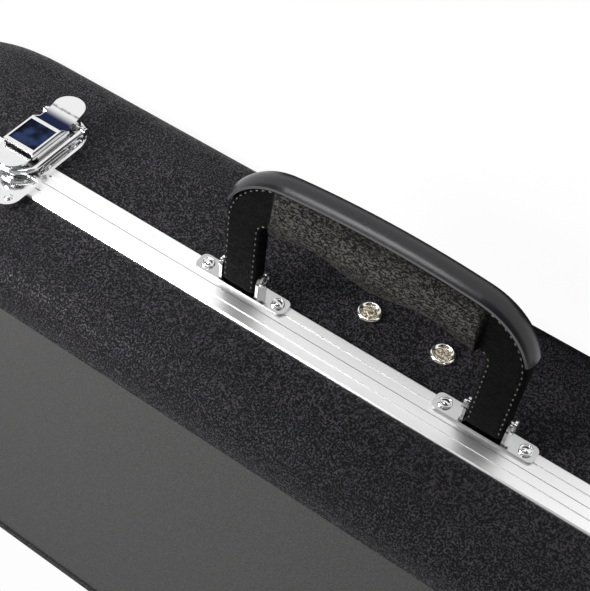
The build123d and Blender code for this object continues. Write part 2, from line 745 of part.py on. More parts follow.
def lid_liner():
    """Padded tray inside the lid, hollow over the mandolin."""
    depth = lid_depth - panel_step - shell_wall - liner_floor_gap
    block = liner_block(lid_straight, depth, lid_edge_radius, liner_top_drop)
    inset = liner_rim_inset + lid_foam_side
    hollow = extrude(outline(inset), depth - lid_foam)
    hollow = chamfer(hollow.edges().group_by(Axis.Z)[-1], hollow_corner)
    return Pos(0, 0, parting) * (block - hollow)


def reinforcement_board():
    """Board inside the wall behind the middle rivets."""
    middle = sum(middle_rivet_places) / 2
    place = Pos(middle, -middle_rivet_drop, inside_z - board_thickness / 2)
    board = place * Box(board_length, board_height, board_thickness)
    return drill(front_plane(0).location * board, front_plane(0), middle_places,
                 rivet_shank + rivet_clearance, -20, 5)


def save(node, shape):
    if isinstance(shape, list):
        shape = Compound(children=shape)
    shape.label = node
    export_step(shape, f"parts/{node}.step")


os.makedirs("parts", exist_ok=True)

save("body_shell", body_shell())
save("lid_shell", lid_shell())
save("body_valance", body_valance())
save("lid_valance", lid_valance())

save("handle_bracket_left", bracket_frame(-1) * bracket())
save("handle_bracket_right", bracket_frame(1) * bracket())
flange_back = inside_z - seat_clearance - inner_flange
save("bracket_rivets", rivets(front_plane(0), bracket_rivet_places, bracket_rivet_head, bracket_rivet_dome,
                              bracket_sheet, flange_back))
save("middle_rivets", rivets(front_plane(0), middle_places, middle_rivet_head, middle_rivet_dome, wall_z,
                             inside_z - board_thickness))
save("reinforcement_board", reinforcement_board())
save("handle_pins", [bracket_frame(side) * handle_pin() for side in (-1, 1)])
save("pin_rings", [bracket_frame(side) * pin_ring() for side in (-1, 1)])
save("handle_grip", handle_grip())
save("handle_core", handle_core())
save("handle_bead", handle_bead())

for name, x in (("left", -latch_offset), ("right", latch_offset)):
    place = front_plane(x).location
    save(f"latch_base_{name}", place * latch_base())
    save(f"latch_housing_{name}", place * latch_housing())
    save(f"latch_lever_{name}", place * latch_lever())
    save(f"lever_pin_{name}", place * lever_pin())
    save(f"latch_bail_{name}", place * latch_bail())
    save(f"bail_pin_{name}", place * bail_pin())
    save(f"latch_catch_{name}", place * latch_catch())
    upper = rivets(front_plane(x), base_upper_rivets, latch_rivet_head, latch_rivet_dome, plate_sheet, flange_back)
    lower = rivets(front_plane(x), base_lower_rivets, latch_rivet_head, latch_rivet_dome, plate_sheet, inside_z)
    save(f"latch_rivets_{name}", upper + lower)
    save(f"catch_rivets_{name}", rivets(front_plane(x), catch_rivet_places, latch_rivet_head, latch_rivet_dome,
                                        plate_sheet, inside_z))

for number, x in enumerate(hinge_places, 1):
    place = back_plane(x).location
    save(f"hinge_body_leaf_{number}", place * hinge_leaf(-1))
    save(f"hinge_lid_leaf_{number}", place * hinge_leaf(1))
    save(f"hinge_pin_{number}", place * hinge_rod())
for half, name in ((-1, "body"), (1, "lid")):
    group = []
    for x in hinge_places:
        places = [(dx, half * hinge_rivet_place) for dx in hinge_rivet_xs]
        group += rivets(back_plane(x), places, latch_rivet_head, latch_rivet_dome, wall_z + hinge_sheet, inside_z)
    save(f"hinge_rivets_{name}", group)
save("body_feet", [back_plane(x).location * Pos(0, -body_foot_drop, 0) * foot() for x in foot_places])
save("lid_feet", [back_plane(x).location * Pos(0, lid_foot_rise, 0) * foot() for x in foot_places])

save("body_liner", body_liner())
save("neck_cradle", neck_cradle())
save("accessory_box", accessory_box())
save("accessory_flap", accessory_flap())
save("flap_tab", flap_tab())
save("lid_liner", lid_liner())
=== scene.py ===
import math
import bmesh
import bpy
import numpy as np
from mathutils import Matrix, Vector


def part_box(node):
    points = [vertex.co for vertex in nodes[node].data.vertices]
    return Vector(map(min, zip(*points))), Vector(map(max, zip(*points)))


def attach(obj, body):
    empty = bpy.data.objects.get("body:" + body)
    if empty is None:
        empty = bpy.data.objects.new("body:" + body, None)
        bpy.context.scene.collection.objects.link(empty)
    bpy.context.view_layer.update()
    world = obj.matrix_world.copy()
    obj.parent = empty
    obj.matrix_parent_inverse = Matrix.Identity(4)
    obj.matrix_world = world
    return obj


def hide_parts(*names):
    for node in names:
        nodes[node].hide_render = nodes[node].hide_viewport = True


# The room first: a pale floor under the closed case, soft lamps round it, and the camera that looks down on
# the handle side. Lengths are millimetres until a mesh is made, and metres after that.
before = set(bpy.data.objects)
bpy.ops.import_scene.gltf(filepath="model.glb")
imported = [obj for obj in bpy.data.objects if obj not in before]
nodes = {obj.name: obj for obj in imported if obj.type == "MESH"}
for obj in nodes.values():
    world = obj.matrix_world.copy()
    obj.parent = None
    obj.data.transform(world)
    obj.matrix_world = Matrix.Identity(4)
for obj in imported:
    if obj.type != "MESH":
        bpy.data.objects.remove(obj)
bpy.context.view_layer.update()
scene = bpy.context.scene
scene.view_settings.view_transform = "Standard"
mm = 0.001


class Wire:
    """A shader socket that adds its own Math nodes when it meets + - * or a comparison."""

    def __init__(self, maker, socket):
        self.maker = maker
        self.socket = socket

    def math(self, operation, *others):
        sockets = {0: self}
        sockets.update({i + 1: other for i, other in enumerate(others)})
        return self.maker.node("ShaderNodeMath", {"operation": operation}, sockets)

    def __add__(self, other):
        return self.math("ADD", other)

    __radd__ = __add__

    def __mul__(self, other):
        return self.math("MULTIPLY", other)

    __rmul__ = __mul__

    def __sub__(self, other):
        return self.math("SUBTRACT", other)

    def __rsub__(self, other):
        return (self * -1.0) + other

    def __gt__(self, other):
        return self.math("GREATER_THAN", other)

    def __lt__(self, other):
        return self.math("LESS_THAN", other)

    def ramp(self, low, high):
        """Runs smoothly from 0 at low to 1 at high, clamped at both ends."""
        return self.maker.node("ShaderNodeMapRange", {"interpolation_type": "SMOOTHSTEP"},
                               {0: self, 1: low, 2: high})


class Nodes:
    """A node tree, of a material or of the world, and the one method that adds nodes to it."""

    def __init__(self, tree):
        self.tree = tree

    def node(self, kind, settings=None, inputs=None, output=0):
        made = self.tree.nodes.new(kind)
        for key, value in (settings or {}).items():
            setattr(made, key, value)
        for key, value in (inputs or {}).items():
            self.feed(made.inputs[key], value)
        return Wire(self, made.outputs[output])

    def feed(self, socket, value):
        if isinstance(value, Wire):
            self.tree.links.new(value.socket, socket)
        else:
            socket.default_value = value

    def find(self, kind):
        return next(n for n in self.tree.nodes if n.type == kind)


class Finish(Nodes):
    """One procedural material: a Principled surface and the nodes that feed it."""

    def __init__(self, name, **sockets):
        self.material = bpy.data.materials.new(name)
        self.material.use_nodes = True
        super().__init__(self.material.node_tree)
        self.surface = self.find("BSDF_PRINCIPLED")
        for socket, value in sockets.items():
            self.set(socket.replace("_", " "), value)

    def set(self, socket, value):
        self.feed(self.surface.inputs[socket], value)

    def place(self):
        return self.node("ShaderNodeTexCoord", output="Object")

    def split(self):
        """The object's x, y and z as three wires, in metres."""
        first = self.node("ShaderNodeSeparateXYZ", None, {0: self.place()})
        return [Wire(self, out) for out in first.socket.node.outputs]

    def noise(self, size, detail=3.0, roughness=0.5, stretch=None):
        """Noise whose lumps are about size millimetres across."""
        vector = self.place()
        if stretch:
            vector = self.node("ShaderNodeVectorMath", {"operation": "MULTIPLY"}, {0: vector, 1: stretch})
        return self.node("ShaderNodeTexNoise", None, {"Vector": vector, "Scale": 1.0 / (size * mm),
                                                      "Detail": detail, "Roughness": roughness})

    def cells(self, size):
        """Distance inside a pattern of cells about size millimetres across."""
        return self.node("ShaderNodeTexVoronoi", {"feature": "F1"},
                         {"Vector": self.place(), "Scale": 1.0 / (size * mm)}, "Distance")

    def mix(self, share, low, high):
        factor, first, second, colour = 0, 6, 7, 2
        return self.node("ShaderNodeMix", {"data_type": "RGBA"},
                         {factor: share, first: low, second: high}, colour)

    def bump(self, height, depth):
        """Raised by depth millimetres where height is 1."""
        normal = self.node("ShaderNodeBump", None, {"Strength": 1.0, "Distance": depth * mm, "Height": height})
        self.set("Normal", normal)
        return self


def grey(value, warm=0.0):
    return (value * (1 + warm), value, value * (1 - warm), 1.0)


# The floor keeps the shadow for the camera and is white in mirrors, apart from a strip from under the case to
# beyond the handle, a little wider than the grip. In mirrors the strip is painted shade, dark as the floor in
# the shade of the case and handle would be, so that the glossy bead above it isn't washed out.
floor_half = 3000.0
strip_near, strip_far, strip_half, strip_fade = 232.0, 268.0, 95.0, 40.0
floor_grey, painted_shade_grey, camera_white = 0.82, 0.03, 0.95
floor_paint = Finish("pale_floor", Roughness=0.9)
seen_ray = floor_paint.node("ShaderNodeLightPath", output="Is Camera Ray")
mirror_ray = floor_paint.node("ShaderNodeLightPath", output="Is Glossy Ray")
floor_x, floor_y, _ = floor_paint.split()
beyond = (-1.0 * floor_y).ramp(strip_near * mm, strip_far * mm)
beside = floor_x.math("ABSOLUTE").ramp(strip_half * mm, (strip_half + strip_fade) * mm)
outside = beyond.math("MAXIMUM", beside).math("MAXIMUM", floor_y > 0.0)
# Painted shade: glossy rays that meet the strip see a dark floor.
painted_shade_in_mirrors = mirror_ray * (1.0 - outside)
floor_paint.set("Base Color", floor_paint.mix(painted_shade_in_mirrors, grey(floor_grey), grey(painted_shade_grey)))
glow = floor_paint.node("ShaderNodeEmission", None, {"Color": grey(1.0), "Strength": 1.0})
white_share = (seen_ray * camera_white).math("MAXIMUM", mirror_ray * outside)
floor_blend = floor_paint.node("ShaderNodeMixShader", None,
                               {0: white_share, 1: Wire(floor_paint, floor_paint.surface.outputs[0]), 2: glow})
floor_paint.feed(floor_paint.find("OUTPUT_MATERIAL").inputs[0], floor_blend)

edge = floor_half * mm
floor_mesh = bpy.data.meshes.new("floor")
floor_mesh.from_pydata([(-edge, -edge, 0), (edge, -edge, 0), (edge, edge, 0), (-edge, edge, 0)], [],
                       [(0, 1, 2, 3)])
floor_mesh.materials.append(floor_paint.material)
floor = bpy.data.objects.new("floor", floor_mesh)
scene.collection.objects.link(floor)


# The air round the stage: plain white to the camera, and for the light a soft sky that is stronger towards the
# hinge side and above than it is in front and below.
sky_way, sky_low, sky_high = (0.0, 0.7, 0.7), -0.5, 0.6
sky_weak, sky_strong = 0.10, 0.44
world = bpy.data.worlds.new("soft_room")
world.use_nodes = True
scene.world = world
air = Nodes(world.node_tree)
way = air.node("ShaderNodeTexCoord", output="Generated")
toward = air.node("ShaderNodeVectorMath", {"operation": "DOT_PRODUCT"}, {0: way, 1: sky_way}, "Value")
strength = air.node("ShaderNodeMapRange", None,
                    {0: toward, 1: sky_low, 2: sky_high, 3: sky_weak, 4: sky_strong})
sky = air.node("ShaderNodeBackground", None, {"Color": grey(1.0), "Strength": strength})
backdrop = air.node("ShaderNodeBackground", None, {"Color": grey(1.0), "Strength": 1.0})
sky_seen = air.node("ShaderNodeLightPath", output="Is Camera Ray")
air.feed(air.find("OUTPUT_WORLD").inputs[0],
         air.node("ShaderNodeMixShader", None, {0: sky_seen, 1: sky, 2: backdrop}))


def softbox(name, place, target, size, height, watts):
    """A flat lamp at place, facing target, size wide and height tall, all in millimetres."""
    data = bpy.data.lights.new(name, "AREA")
    data.shape = "RECTANGLE"
    data.size, data.size_y = size * mm, height * mm
    data.energy = watts
    lamp = bpy.data.objects.new(name, data)
    lamp.location = Vector(place) * mm
    lamp.rotation_mode = "QUATERNION"
    lamp.rotation_quaternion = (Vector(target) - Vector(place)).to_track_quat("-Z", "Y")
    scene.collection.objects.link(lamp)


softbox("softbox_behind", (500, 1500, 1500), (0, 0, 100), 1400, 1400, 11.5)
softbox("softbox_left", (430, -400, 440), (160, -130, 110), 240, 240, 6.0)
softbox("softbox_front", (240, -1000, 130), (0, -200, 80), 520, 210, 2.4)

# The camera stands where the photo's lines place it: beyond the handle, above the lid and rolled to one side.
# Its right, up and back directions are those of the solved view.
camera_place = (-117.55, -563.8, 370.1)
camera_right = (-0.8238, -0.0917, -0.5595)
camera_up = (0.4824, -0.6317, -0.6068)
camera_back = (-0.2978, -0.7697, 0.5646)
focal_pixels, picture_pixels, sensor_width = 1147.9, 591, 36.0
view_data = bpy.data.cameras.new("camera")
view_data.sensor_width = sensor_width
view_data.lens = focal_pixels * sensor_width / picture_pixels
view_data.clip_start, view_data.clip_end = 0.01, 50.0
camera = bpy.data.objects.new("camera", view_data)
turn = Matrix((camera_right, camera_up, camera_back)).transposed().normalized()
camera.matrix_world = Matrix.Translation(Vector(camera_place) * mm) @ turn.to_4x4()
scene.collection.objects.link(camera)
scene.camera = camera


# The two moulded shells: vacuum-formed black sheet with an uneven pebble grain under a millimetre across. The
# flat panel on the lid and the one on the base have a finer, greyer grain inside the rounded outline of the
# crease.
case_length, case_width, panel_inset, corner_radius = 740.0, 300.0, 23.0, 130.0
crease_half = 0.4
pebble, pebble_depth, cell_share = 0.85, 0.8, 0.25
cell_size, cell_core, cell_border = pebble * 0.75, 0.10, 0.60
lump_low, lump_high, pale_from = 0.45, 0.57, 0.45
drift_size, drift_least, drift_gain = 70.0, 0.5, 0.6
shell_rough, pebble_shine, panel_dull = 0.62, 0.28, 0.14
fine_grain, fine_depth = 0.55, 0.10
shaded_valley_black, lit_pebble_top = (0.0008, 0.0008, 0.0011, 1.0), (0.060, 0.054, 0.069, 1.0)
panel_dark, panel_charcoal = grey(0.030, 0.02), grey(0.058, 0.02)


def dress(finish, *names):
    """Gives CAD nodes this finish in place of the one that they were packed with."""
    for name in names:
        nodes[name].data.materials.clear()
        nodes[name].data.materials.append(finish.material)


def shell_finish():
    """Pebbles are a quarter cells with dark borders and three quarters noise cut to hard-edged lumps. Their
    colour is painted shade in the valleys and painted light on the tops, with a slow drift in its brightness;
    inside the panel's outline the grain turns fine and even."""
    paint = Finish("pebbled_moulding", Specular_IOR_Level=0.17)
    x, y, _ = paint.split()
    flat_x = (case_length / 2 - corner_radius) * mm
    flat_y = (case_width / 2 - corner_radius) * mm
    far_x = (x.math("ABSOLUTE") - flat_x).math("MAXIMUM", 0.0)
    far_y = (y.math("ABSOLUTE") - flat_y).math("MAXIMUM", 0.0)
    reach = (far_x * far_x + far_y * far_y).math("SQRT")
    crease = (corner_radius - panel_inset) * mm
    inside = 1.0 - reach.ramp(crease - crease_half * mm, crease + crease_half * mm)
    lumps = paint.cells(cell_size)
    swirl = paint.noise(pebble, 3.0, 0.6)
    rounds = 1.0 - lumps.ramp(cell_core, cell_border)
    grain = rounds * cell_share + swirl.ramp(lump_low, lump_high) * (1.0 - cell_share)
    fine = paint.noise(fine_grain, 2.0)
    drift = paint.noise(drift_size, 2.0)
    # Painted light and shade: pebble tops paler, standing in for glints, and valleys near black, for the shade
    # between pebbles.
    lit_tops_and_drift = grain.ramp(pale_from, 1.0) * (drift_least + drift * drift_gain)
    pebbles = paint.mix(lit_tops_and_drift, shaded_valley_black, lit_pebble_top)
    paint.set("Base Color", paint.mix(inside, pebbles, paint.mix(fine, panel_dark, panel_charcoal)))
    paint.set("Roughness", shell_rough - grain * pebble_shine + inside * panel_dull)
    height = grain * (1.0 - inside) + fine * inside * (fine_depth / pebble_depth)
    return paint.bump(height, pebble_depth)


dress(shell_finish(), "body_shell", "lid_shell")


# The valances: two anodised aluminium extrusions, rolled round the rims and drawn lengthwise, so the satin
# shows faint streaks along them. The line pressed along each outer face is in the solid.
streak_length, streak_width, streak_depth = 60.0, 0.35, 0.003
streak_dull, streak_pale, satin_rough, streak_rough = 0.97, 0.995, 0.32, 0.10


def valance_finish():
    """Fine streaks that run level round the case: noise squeezed in height and long in the other two."""
    metal = Finish("satin_aluminium", Metallic=1.0)
    level = streak_width / streak_length
    streaks = metal.noise(streak_width, 2.0, stretch=(level, level, 1.0))
    metal.set("Base Color", metal.mix(streaks, grey(streak_dull), grey(streak_pale)))
    metal.set("Roughness", satin_rough + streaks * streak_rough)
    return metal.bump(streaks, streak_depth)


dress(valance_finish(), "body_valance", "lid_valance")


# Brackets, latches, hinges and their pins: stamped steel, polished and chromed. Handling leaves it slightly
# wavy and a little dull in places; the brackets are painted darker, as painted shade in what they mirror.
wave_size, wave_depth, wear_size = 9.0, 0.03, 2.0
polish_rough, wear_rough, wear_tint = 0.07, 0.08, -0.01
chromed = [n for n in nodes if n.startswith(("latch_base", "lever_pin", "latch_bail", "bail_pin", "latch_catch",
                                             "hinge_", "handle_pins", "latch_rivets", "catch_rivets"))]


def chrome_finish(name, dull=0.80, bright=0.88):
    metal = Finish(name, Metallic=1.0)
    wave = metal.noise(wave_size, 2.0)
    wear = metal.noise(wear_size, 4.0, 0.65)
    metal.set("Base Color", metal.mix(wear, grey(dull, wear_tint), grey(bright)))
    metal.set("Roughness", polish_rough + wear * wear_rough)
    return metal.bump(wave, wave_depth)


dress(chrome_finish("chromed_steel"), *chromed)
# Painted shade: the brackets' chrome is darker than the rest.
dress(chrome_finish("bracket_steel", 0.50, 0.62), "handle_bracket_left", "handle_bracket_right")


# The housing's sunk square window is a dark polished blank, blue-black, within the chromed frame. Only the
# window's own floor is dark: it is picked out by its place and its depth.
latch_offset, front_face, parting = 197.5, -151.5, 85.8
window_half, window_top, window_centre = 8.35, 13.2, -12.55
window_low, window_high, cloud_size, frame_chrome = 0.6, 1.1, 6.0, 0.84
blank_dark, blank_blue = (0.001, 0.002, 0.007, 1.0), (0.010, 0.018, 0.048, 1.0)
housing = chrome_finish("chromed_housing")
housing.set("Specular IOR Level", 0.05)
x, y, z = housing.split()
across = (x.math("ABSOLUTE") - latch_offset * mm).math("ABSOLUTE")
along = (z - (parting + window_centre) * mm).math("ABSOLUTE")
sunk = (across < window_half * mm) * (along < window_half * mm)
window_floor = front_face - window_top
sunk = sunk * (y > (window_floor + window_low) * mm) * (y < (window_floor + window_high) * mm)
cloudy = housing.noise(cloud_size, 1.0).ramp(0.35, 0.65)
blank = housing.mix(cloudy, blank_dark, blank_blue)
housing.set("Base Color", housing.mix(sunk, grey(frame_chrome), blank))
housing.set("Metallic", 1.0 - sunk)
dress(housing, "latch_housing_left", "latch_housing_right")


# The levers: the same chrome, with a painted dark blue reflection where the thumb tab leaves the housing,
# fading to bright chrome at its rounded end. The part of a lever that lies nearer the wall than the tab stays
# chrome.
tab_root, tab_bright, tab_out = -29.5, -36.0, 5.0
tab_chrome, painted_dark_reflection = 0.86, (0.012, 0.020, 0.055, 1.0)
lever = chrome_finish("chromed_lever")
_, y, z = lever.split()
# Painted reflection: dark blue at the tab's root, fading towards its end.
reflection_share = (z - parting * mm).ramp(tab_bright * mm, tab_root * mm) * (y < (front_face - tab_out) * mm)
lever.set("Base Color", lever.mix(reflection_share, grey(tab_chrome), painted_dark_reflection))
dress(lever, "latch_lever_left", "latch_lever_right")


# Rivets of the brackets: nickelled steel, each head a low dome inside a rolled ring. The shank goes through the
# bracket and the flange, and a flat tail closes it behind.
bracket_drop, bracket_sheet, handle_pitch, rivet_pitch = 7.8, 1.4, 129.5, 40.0
flange_back, shank, tail, tail_height = -5.35, 1.6, 2.3, 0.7
crown_radius, crown_height, crown_base = 2.1, 0.75, 0.95
turn_steps, dome_steps = 48, 8
on_axis = 0.0001


def merge(mesh, distance, outward):
    """Merges the mesh's doubles within distance, in metres, and turns its faces outwards if asked."""
    shape = bmesh.new()
    shape.from_mesh(mesh)
    bmesh.ops.remove_doubles(shape, verts=shape.verts, dist=distance)
    if outward:
        bmesh.ops.recalc_face_normals(shape, faces=shape.faces)
    shape.to_mesh(mesh)
    shape.free()


def piece(name, mesh, finish, body):
    """A finished mesh with its doubles merged and its faces outwards, riding on a body."""
    merge(mesh, 1e-6, outward=True)
    mesh.polygons.foreach_set("use_smooth", [True] * len(mesh.polygons))
    mesh.materials.append(finish.material)
    made = bpy.data.objects.new(name, mesh)
    scene.collection.objects.link(made)
    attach(made, body)
    return made


def tubes(name, grids, capped=True):
    """A mesh from points of shape (tubes, rings, steps, 3) in millimetres: quads join each ring to the next,
    the last step joins the first, and a cap closes each end unless the end rings shrink to a point."""
    index = np.arange(grids[..., 0].size).reshape(grids.shape[:3])
    beside = np.roll(index, -1, axis=2)
    quads = np.stack([index[:, :-1], index[:, 1:], beside[:, 1:], beside[:, :-1]], -1)
    faces = quads.reshape(-1, 4).tolist()
    if capped:
        faces += index[:, 0].tolist() + index[:, -1, ::-1].tolist()
    mesh = bpy.data.meshes.new(name)
    mesh.from_pydata((grids.reshape(-1, 3) * mm).tolist(), [], faces)
    return mesh


def turned(profile, places):
    """A profile of (radius, height out) turned round each rivet's own axis, at (x, z, seat): x and z add the
    radius times the cosine and sine, and y runs out from the front face."""
    angle = np.linspace(0, 2 * np.pi, turn_steps, endpoint=False)
    radius, out = np.array(profile, float).T[:, None, :, None]
    x, z, seat = np.array(places, float).T[:, :, None, None]
    spread = np.broadcast_to(angle, (len(places), len(profile), turn_steps))
    return np.stack([x + radius * np.cos(spread), front_face - seat - out + 0.0 * spread,
                     z + radius * np.sin(spread)], -1)


def rivets(name, profile, places, finish, body, node):
    """One piece that holds all of a node's rivets, each closed at both ends of its profile."""
    made = piece(name, tubes(name, turned(profile, places), capped=False), finish, body)
    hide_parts(node)


def dome(radius, height):
    """From the crown outwards: a shallow cap, height times one minus the squared share of the radius."""
    return [(radius * share, height * (1 - share * share)) for share in np.linspace(0.0, 1.0, dome_steps)]


bracket_back = flange_back - bracket_sheet
ring_head = [(on_axis + r, h + crown_base) for r, h in dome(crown_radius, crown_height)]
ring_head += [(2.3, 0.75), (2.5, 1.1), (2.85, 1.3), (3.15, 1.0), (3.3, 0.4), (3.3, 0.0), (shank, 0.0),
              (shank, bracket_back), (tail, bracket_back), (tail, bracket_back - tail_height),
              (on_axis, bracket_back - tail_height)]
bracket_places = [(side * handle_pitch / 2 + end * rivet_pitch / 2, parting - bracket_drop, bracket_sheet)
                  for side in (-1, 1) for end in (-1, 1)]
rivets("bracket_rivet_heads", ring_head, bracket_places, chrome_finish("nickelled_rivet"), "body",
       "bracket_rivets")


# The two rivets behind the handle: pale gold nickel, a rolled ring round a sunk centre with plain stipple. They
# sit on the wall, which is set back from the valance's face.
middle_drop, middle_xs, wall_seat, wall_back = 32.3, (9.2, -30.2), -1.5, -4.6
cup_radius, ring_radius, ring_rough, cup_rough = 3.4, 3.9, 0.10, 0.22
stipple_size, stipple_low, stipple_high, stipple_depth = 1.1, 0.40, 0.60, 0.22
ring_gold, cup_dark, cup_pale = (0.90, 0.87, 0.78, 1.0), (0.30, 0.21, 0.13, 1.0), (0.86, 0.80, 0.66, 1.0)
champagne = Finish("pale_gold_nickel", Metallic=1.0)
stipple = champagne.noise(stipple_size, 2.0, 0.6).ramp(stipple_low, stipple_high)
x, _, z = champagne.split()
halfway, apart = (middle_xs[0] + middle_xs[1]) / 2, (middle_xs[0] - middle_xs[1]) / 2
aside = (x - halfway * mm).math("ABSOLUTE") - apart * mm
below = z - (parting - middle_drop) * mm
centre = 1.0 - (aside * aside + below * below).math("SQRT").ramp(cup_radius * mm, ring_radius * mm)
champagne.set("Base Color", champagne.mix(centre, ring_gold, champagne.mix(stipple, cup_dark, cup_pale)))
champagne.set("Roughness", ring_rough + centre * cup_rough)
champagne.bump(stipple * centre, stipple_depth)
middle_profile = [(on_axis, 0.95), (1.2, 1.05), (2.4, 0.9), (3.4, 0.75), (3.9, 0.8), (4.3, 1.35), (4.8, 1.8),
                  (5.3, 1.85), (5.8, 1.45), (6.1, 0.8), (6.2, 0.3), (6.2, 0.0), (shank, 0.0),
                  (shank, wall_back), (tail, wall_back), (tail, wall_back - tail_height),
                  (on_axis, wall_back - tail_height)]
rivets("middle_rivet_heads", middle_profile, [(x, parting - middle_drop, wall_seat) for x in middle_xs],
       champagne, "body", "middle_rivets")


# Split rings at the pins' ends: bright spring wire, as polished as the chromed parts. Each hangs through the
# bore of its pin.
dress(chrome_finish("ring_wire"), "pin_rings")


# The handle: black grained leather wrapped round a steel core and sewn, thin down the legs and padded along
# the grip. Seen from the front, the grip's finger side dips to a belly between two finger hollows.
pin_row, leg_half, leg_end = 78.0, 9.2, 4.2
crown, corner, inner_corner, grip_top, grip_low = 410.0, 32.0, 5.0, 79.7, 50.3
leg_share, corner_share = 0.34, 0.56
belly, hollow, hollow_place, hollow_end = 49.3, 54.3, 28.0, 50.55
leg_thick, grip_thick, grip_half, step_half = 4.5, 7.3, 50.0, 1.0
section_power, tuck, tuck_power = 0.34, 0.24, 6
handle_rows, section_steps = 300, 56


def underside(x):
    """Finger side: a level line plus a cosine wave that peaks at the hollows and dips at the belly and ends."""
    share = np.clip(np.abs(x) / hollow_place, 0, 2)
    wave = 0.5 - 0.5 * np.cos(np.pi * share)
    end_share = np.clip((np.abs(x) - hollow_place) / (hollow_end - hollow_place), 0, 1)
    fall = 0.5 - 0.5 * np.cos(np.pi * end_share)
    return np.where(np.abs(x) <= hollow_place, belly + (hollow - belly) * wave,
                    hollow + (grip_low - hollow) * fall)


def handle_edges(share):
    """Matching points on the outer and inner edge, for share 0 at one leg's foot and 1 at the other's: up
    the leg, round the corner's arc, then along the crowned top, an arc about a centre far below it."""
    side = np.where(share < 0.5, -1.0, 1.0)
    s = np.where(share < 0.5, share, 1.0 - share) * 2.0
    flat_out = handle_pitch / 2 + leg_half - corner
    flat_in = handle_pitch / 2 - leg_half - inner_corner
    rise = math.sqrt((crown - corner) ** 2 - flat_out ** 2)
    level, lean = grip_top - crown + rise, math.atan2(rise, flat_out)
    up = np.clip(s / leg_share, 0, 1)
    bend = np.clip((s - leg_share) / (corner_share - leg_share), 0, 1)
    run = np.clip((s - corner_share) / (1 - corner_share), 0, 1)
    over = lean + (np.pi / 2 - lean) * run
    outer_x = np.where(run > 0, crown * np.cos(over), flat_out + corner * np.cos(bend * lean))
    outer_y = np.where(run > 0, grip_top - crown + crown * np.sin(over),
                       leg_end + (level - leg_end) * up + corner * np.sin(bend * lean))
    inner_x = flat_in + inner_corner * np.cos(bend * np.pi / 2) - flat_in * run
    low = grip_low - inner_corner
    inner_y = leg_end + (low - leg_end) * up + inner_corner * np.sin(bend * np.pi / 2)
    inner_y = np.where(run > 0, underside(inner_x), inner_y)
    return np.stack([side * outer_x, outer_y], -1), np.stack([side * inner_x, inner_y], -1)


def thickness(x):
    """Half thickness: thin in the legs, stepping up smoothly where the grip's padding starts."""
    step = np.clip((grip_half + step_half - np.abs(x)) / (2 * step_half), 0, 1)
    step = step * step * (3 - 2 * step)
    return leg_thick + (grip_thick - leg_thick) * step


def rounded(wave, power):
    """The wave's size raised to the power, with its sign: under 1 it squares off a circle."""
    return np.sign(wave) * np.abs(wave) ** power


def handle_points():
    """Rounded-box sections between the two edges: power-rounded cosine across and sine through. The grip's
    padding thins by the tuck towards the outer edge, with the sixth power of the share across."""
    outer, inner = handle_edges(np.linspace(0, 1, handle_rows))
    middle, reach = (outer + inner) / 2, (outer - inner) / 2
    angle = np.linspace(0, 2 * np.pi, section_steps, endpoint=False)
    half = thickness(middle[:, 0])
    across = rounded(np.cos(angle), section_power)
    through = rounded(np.sin(angle), section_power)
    x = middle[:, :1] + reach[:, :1] * across
    y = middle[:, 1:] + reach[:, 1:] * across
    padded = np.clip((half - leg_thick) / (grip_thick - leg_thick), 0, 1)[:, None]
    z = half[:, None] * through * (1.0 - tuck * padded * np.clip(across, 0, 1) ** tuck_power)
    return np.stack([x, front_face - y, pin_row + z], -1)


# The leather's finish: short wrinkles over small cells. The padding's wrinkle tops are paler, partly with wear
# and partly as painted highlight, brightest in a painted highlight band along the grip's middle; the legs stay
# near black. Tones are shares of the base tone.
wrinkle, wrinkle_depth, hide_tone = 0.7, 0.42, 0.014
fold_size, fold_end, fold_share = wrinkle * 2.2, 0.08, 0.6
lit_band_place, lit_band_core, lit_band_reach, lit_band_least = 66.0, 2.0, 14.0, 0.35
worn_low, worn_high, kept_low, kept_high = 0.45, 5.2, 0.03, 0.30
hide_rough, wrinkle_shine, padding_shine = 0.74, 0.16, 0.16


def leather_finish():
    """Wrinkles are noise folded at its middle, laid over cells: fold_share of the one, the rest the other."""
    hide = Finish("grained_leather", Specular_IOR_Level=0.05)
    fold = hide.noise(fold_size, 4.0, 0.65, stretch=(0.6, 1.0, 1.0)) - 0.5
    fold = fold.math("ABSOLUTE").ramp(0.0, fold_end)
    height = fold * fold_share + (1.0 - hide.cells(wrinkle)) * (1.0 - fold_share)
    x, y, _ = hide.split()
    padded = 1.0 - x.math("ABSOLUTE").ramp((grip_half - step_half) * mm, (grip_half + step_half) * mm)
    # Painted highlight: a band along the grip's middle, paler than the padding's edges.
    from_band = ((-1.0 * y + front_face * mm) - lit_band_place * mm).math("ABSOLUTE")
    lit_band = 1.0 - from_band.ramp(lit_band_core * mm, lit_band_reach * mm)
    worn_and_lit = hide.mix(height.ramp(0.40, 0.9) * (lit_band_least + lit_band * (1.0 - lit_band_least)),
                    grey(hide_tone * worn_low, 0.05), grey(hide_tone * worn_high, 0.08))
    kept = hide.mix(height, grey(hide_tone * kept_low), grey(hide_tone * kept_high, 0.02))
    hide.set("Base Color", hide.mix(padded, kept, worn_and_lit))
    hide.set("Roughness", hide_rough - height * wrinkle_shine - padded * padding_shine)
    return hide.bump(height, wrinkle_depth)


grip = piece("leather_handle", tubes("leather_handle", handle_points()[None]), leather_finish(), "handle")
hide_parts("handle_grip")


